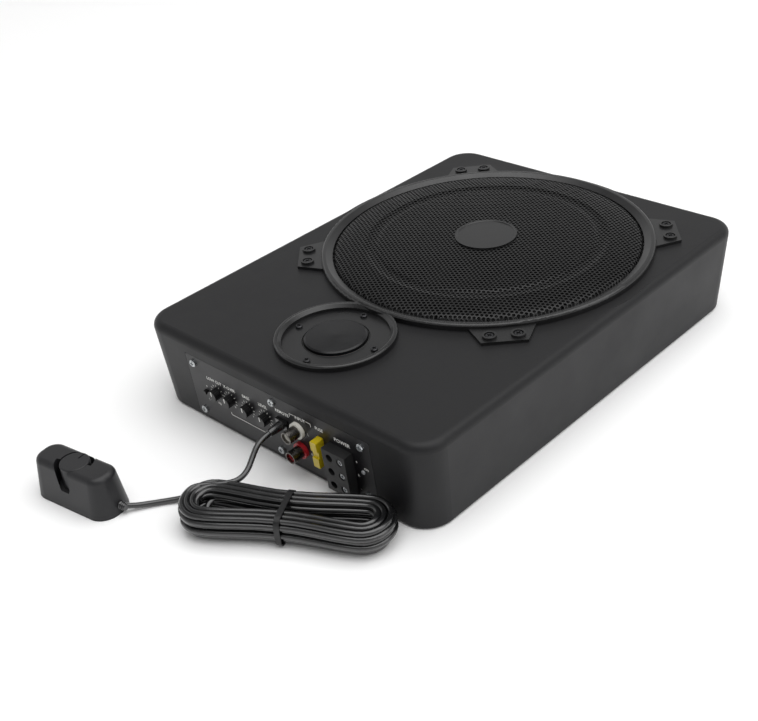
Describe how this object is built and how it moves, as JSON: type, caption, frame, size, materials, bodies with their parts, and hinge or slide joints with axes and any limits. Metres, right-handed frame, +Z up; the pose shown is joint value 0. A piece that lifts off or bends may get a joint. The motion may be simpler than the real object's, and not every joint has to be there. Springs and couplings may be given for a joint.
{
  "type": "powered car subwoofer",
  "caption": "Flat powered car subwoofer for under a seat: grilled woofer and small midrange in a tapered box, end panel with controls and sockets, wired level remote.",
  "frame": {"origin": "centre of the underside of the enclosure, on the surface it rests on", "axes": "+Z up, +Y from the control panel to the far end, +X to the right seen from the control panel's side"},
  "size_m": [0.2494, 0.443, 0.071],
  "materials": {
    "case_paint": "cast, fine black powder coat",
    "cover_plate": "black paint",
    "trim_plastic": "moulded, fine texture",
    "grille_mesh": "black paint on perforated steel",
    "black_screw": "black zinc",
    "bright_screw": "zinc plated",
    "brass_insert": "turned",
    "gasket_foam": "foam",
    "basket_steel": "black paint on pressed steel",
    "rubber_roll": "moulded",
    "cone_paper": "pressed pulp, black",
    "spider_cloth": "resin-dipped cotton",
    "coil_former": "thin sheet",
    "coil_wire": "enamelled copper wire",
    "magnet_steel": "zinc plated",
    "ferrite": "ground ferrite",
    "dome_film": "formed film",
    "panel_paint": "black with white print",
    "knob_plastic": "moulded",
    "socket_plastic": "moulded",
    "circuit_board": "glass epoxy, green lacquer",
    "rca_white": "moulded",
    "rca_red": "moulded",
    "plated_brass": "nickel plated",
    "fuse_yellow": "clear yellow",
    "led_lens": "tinted lens",
    "sink_aluminium": "extruded",
    "capacitor_sleeve": "shrink sleeve",
    "copper_winding": "enamelled wire",
    "remote_plastic": "moulded, satin",
    "cord_jacket": "smooth PVC",
    "tie_plastic": "twist tie"
  },
  "bodies": {
    "root": {"housing": "case_paint", "base_cover": "cover_plate", "base_screws": "bright_screw", "woofer_screws": "bright_screw", "panel_screws": "bright_screw", "terminal_screws": "bright_screw", "bezel_screws": "black_screw", "mid_screws": "black_screw", "bracket_inserts": "brass_insert", "woofer_gasket": "gasket_foam", "woofer_basket": "basket_steel", "magnet_top_plate": "magnet_steel", "magnet_yoke": "magnet_steel", "mid_cup": "magnet_steel", "woofer_magnet": "ferrite", "mid_magnet": "ferrite", "bezel": "trim_plastic", "mid_faceplate": "trim_plastic", "grille_badge": "trim_plastic", "grille": "grille_mesh", "control_panel": "panel_paint", "control_board": "circuit_board", "amplifier_board": "circuit_board", "control_pots": "socket_plastic", "phase_switch_case": "socket_plastic", "remote_jack": "socket_plastic", "fuse_holder": "socket_plastic", "power_terminal": "socket_plastic", "remote_pot": "socket_plastic", "rca_white": "rca_white", "rca_red": "rca_red", "rca_barrels": "plated_brass", "power_led": "led_lens", "heat_sink": "sink_aluminium", "filter_capacitors": "capacitor_sleeve", "supply_toroid": "copper_winding", "remote_housing": "remote_plastic", "remote_base": "remote_plastic", "plug_cord": "cord_jacket", "remote_cord": "cord_jacket", "cord_hank": "cord_jacket", "remote_plug": "cord_jacket", "cord_tie": "tie_plastic"},
    "woofer_moving": {"woofer_cone": "cone_paper", "dust_cap": "cone_paper", "voice_coil_former": "coil_former", "voice_coil_winding": "coil_wire", "woofer_surround": "rubber_roll", "spider": "spider_cloth"},
    "mid_moving": {"mid_dome": "dome_film", "mid_coil": "coil_wire", "mid_surround": "rubber_roll"},
    "subsonic_knob": {"subsonic_knob": "knob_plastic"},
    "crossover_knob": {"crossover_knob": "knob_plastic"},
    "boost_knob": {"boost_knob": "knob_plastic"},
    "level_knob": {"level_knob": "knob_plastic"},
    "phase_switch": {"phase_switch_slider": "knob_plastic"},
    "fuse": {"fuse_body": "fuse_yellow", "fuse_blades": "plated_brass"},
    "remote_knob": {"remote_knob": "remote_plastic"}
  },
  "joints": [
    {"name": "woofer_stroke", "type": "slide", "parent": "root", "child": "woofer_moving", "axis": [0, 0, 1], "range_m": [-0.005, 0.005], "stiffness_N_per_m": 3000, "deforming": ["woofer_surround", "spider"]},
    {"name": "mid_stroke", "type": "slide", "parent": "root", "child": "mid_moving", "axis": [0, 0, 1], "range_m": [-0.0008, 0.0008], "stiffness_N_per_m": 300, "deforming": ["mid_surround"]},
    {"name": "subsonic_turn", "type": "hinge", "parent": "root", "child": "subsonic_knob", "pos_m": [-0.0565, -0.16595, 0.02862], "axis": [0, -0.9982, -0.0607], "range_deg": [-140, 140]},
    {"name": "crossover_turn", "type": "hinge", "parent": "root", "child": "crossover_knob", "pos_m": [-0.0435, -0.16595, 0.02862], "axis": [0, -0.9982, -0.0607], "range_deg": [-140, 140]},
    {"name": "boost_turn", "type": "hinge", "parent": "root", "child": "boost_knob", "pos_m": [-0.0265, -0.16595, 0.02862], "axis": [0, -0.9982, -0.0607], "range_deg": [-140, 140]},
    {"name": "level_turn", "type": "hinge", "parent": "root", "child": "level_knob", "pos_m": [-0.01, -0.16595, 0.02862], "axis": [0, -0.9982, -0.0607], "range_deg": [-140, 140]},
    {"name": "phase_slide", "type": "slide", "parent": "root", "child": "phase_switch", "axis": [1, 0, 0], "range_m": [0, 0.0025]},
    {"name": "fuse_pull", "type": "slide", "parent": "root", "child": "fuse", "axis": [0, -0.9982, -0.0607], "range_m": [0, 0.014]},
    {"name": "remote_turn", "type": "hinge", "parent": "root", "child": "remote_knob", "pos_m": [-0.0736, -0.2617, 0.02], "axis": [0, 0, 1], "range_deg": [-140, 140]}
  ]
}
